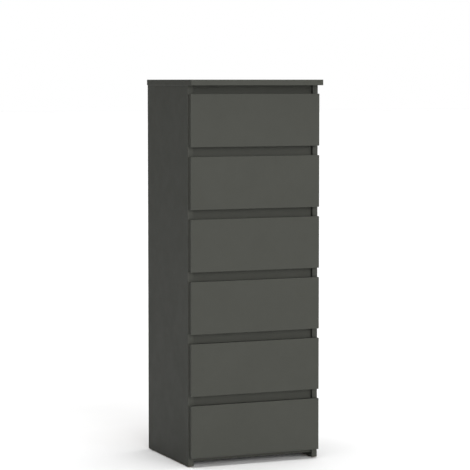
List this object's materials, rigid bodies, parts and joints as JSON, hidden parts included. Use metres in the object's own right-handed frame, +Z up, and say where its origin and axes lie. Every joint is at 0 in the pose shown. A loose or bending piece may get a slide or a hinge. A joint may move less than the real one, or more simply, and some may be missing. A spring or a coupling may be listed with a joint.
{
  "type": "tall chest of drawers",
  "caption": "Tall narrow chest of handle-less drawers on ball-bearing slides, with full-width fronts, set-back rails as finger pulls, and a thin overhanging top.",
  "frame": {"origin": "on the floor, under the centre of the top panel and of the whole chest's box", "axes": "+X to the right of a person who faces the drawers, -Y towards that person (the way the drawers open), +Z up"},
  "size_m": [0.404, 0.35, 1.09],
  "materials": {
    "graphite_laminate": "satin-matt melamine foil on chipboard, graphite grey",
    "back_hardboard": "bare hardboard outside, graphite print inside",
    "drawer_laminate": "light grey foil on chipboard",
    "drawer_hardboard": "light grey lacquered hardboard",
    "zinc_plated_steel": "bright zinc plate",
    "cage_steel": "plain steel strip, greased",
    "cast_zinc": "die-cast zinc",
    "beech_dowel": "bare fluted beech",
    "black_plastic": "matt"
  },
  "bodies": {
    "carcass": {"top_panel": "graphite_laminate", "left_side_panel": "graphite_laminate", "right_side_panel": "graphite_laminate", "bottom_panel": "graphite_laminate", "front_rail_1": "graphite_laminate", "front_rail_2": "graphite_laminate", "front_rail_3": "graphite_laminate", "front_rail_4": "graphite_laminate", "front_rail_5": "graphite_laminate", "front_rail_6": "graphite_laminate", "back_panel": "back_hardboard", "outer_slides": "zinc_plated_steel", "slide_screws": "zinc_plated_steel", "cam_fittings": "cast_zinc", "wooden_dowels": "beech_dowel", "back_panel_nails": "zinc_plated_steel", "wall_brackets": "zinc_plated_steel", "floor_glides": "black_plastic"},
    "drawer_1": {"drawer_1_front": "graphite_laminate", "drawer_1_left_side": "drawer_laminate", "drawer_1_right_side": "drawer_laminate", "drawer_1_back": "drawer_laminate", "drawer_1_bottom": "drawer_hardboard", "drawer_1_inner_slides": "zinc_plated_steel"},
    "cages_1": {"slide_cages_1": "cage_steel"},
    "drawer_2": {"drawer_2_front": "graphite_laminate", "drawer_2_left_side": "drawer_laminate", "drawer_2_right_side": "drawer_laminate", "drawer_2_back": "drawer_laminate", "drawer_2_bottom": "drawer_hardboard", "drawer_2_inner_slides": "zinc_plated_steel"},
    "cages_2": {"slide_cages_2": "cage_steel"},
    "drawer_3": {"drawer_3_front": "graphite_laminate", "drawer_3_left_side": "drawer_laminate", "drawer_3_right_side": "drawer_laminate", "drawer_3_back": "drawer_laminate", "drawer_3_bottom": "drawer_hardboard", "drawer_3_inner_slides": "zinc_plated_steel"},
    "cages_3": {"slide_cages_3": "cage_steel"},
    "drawer_4": {"drawer_4_front": "graphite_laminate", "drawer_4_left_side": "drawer_laminate", "drawer_4_right_side": "drawer_laminate", "drawer_4_back": "drawer_laminate", "drawer_4_bottom": "drawer_hardboard", "drawer_4_inner_slides": "zinc_plated_steel"},
    "cages_4": {"slide_cages_4": "cage_steel"},
    "drawer_5": {"drawer_5_front": "graphite_laminate", "drawer_5_left_side": "drawer_laminate", "drawer_5_right_side": "drawer_laminate", "drawer_5_back": "drawer_laminate", "drawer_5_bottom": "drawer_hardboard", "drawer_5_inner_slides": "zinc_plated_steel"},
    "cages_5": {"slide_cages_5": "cage_steel"},
    "drawer_6": {"drawer_6_front": "graphite_laminate", "drawer_6_left_side": "drawer_laminate", "drawer_6_right_side": "drawer_laminate", "drawer_6_back": "drawer_laminate", "drawer_6_bottom": "drawer_hardboard", "drawer_6_inner_slides": "zinc_plated_steel"},
    "cages_6": {"slide_cages_6": "cage_steel"}
  },
  "joints": [
    {"name": "drawer_1_slide", "type": "slide", "parent": "carcass", "child": "drawer_1", "axis": [0, -1, 0], "range_m": [0, 0.22]},
    {"name": "drawer_2_slide", "type": "slide", "parent": "carcass", "child": "drawer_2", "axis": [0, -1, 0], "range_m": [0, 0.22]},
    {"name": "drawer_3_slide", "type": "slide", "parent": "carcass", "child": "drawer_3", "axis": [0, -1, 0], "range_m": [0, 0.22]},
    {"name": "drawer_4_slide", "type": "slide", "parent": "carcass", "child": "drawer_4", "axis": [0, -1, 0], "range_m": [0, 0.22]},
    {"name": "drawer_5_slide", "type": "slide", "parent": "carcass", "child": "drawer_5", "axis": [0, -1, 0], "range_m": [0, 0.22]},
    {"name": "drawer_6_slide", "type": "slide", "parent": "carcass", "child": "drawer_6", "axis": [0, -1, 0], "range_m": [0, 0.22]},
    {"name": "cages_1_slide", "type": "slide", "parent": "carcass", "child": "cages_1", "axis": [0, -1, 0], "range_m": [0, 0.11]},
    {"name": "cages_2_slide", "type": "slide", "parent": "carcass", "child": "cages_2", "axis": [0, -1, 0], "range_m": [0, 0.11]},
    {"name": "cages_3_slide", "type": "slide", "parent": "carcass", "child": "cages_3", "axis": [0, -1, 0], "range_m": [0, 0.11]},
    {"name": "cages_4_slide", "type": "slide", "parent": "carcass", "child": "cages_4", "axis": [0, -1, 0], "range_m": [0, 0.11]},
    {"name": "cages_5_slide", "type": "slide", "parent": "carcass", "child": "cages_5", "axis": [0, -1, 0], "range_m": [0, 0.11]},
    {"name": "cages_6_slide", "type": "slide", "parent": "carcass", "child": "cages_6", "axis": [0, -1, 0], "range_m": [0, 0.11]}
  ],
  "couplings": [
    {"joint": "cages_1_slide", "follows": "drawer_1_slide", "ratio": 0.5},
    {"joint": "cages_2_slide", "follows": "drawer_2_slide", "ratio": 0.5},
    {"joint": "cages_3_slide", "follows": "drawer_3_slide", "ratio": 0.5},
    {"joint": "cages_4_slide", "follows": "drawer_4_slide", "ratio": 0.5},
    {"joint": "cages_5_slide", "follows": "drawer_5_slide", "ratio": 0.5},
    {"joint": "cages_6_slide", "follows": "drawer_6_slide", "ratio": 0.5}
  ]
}
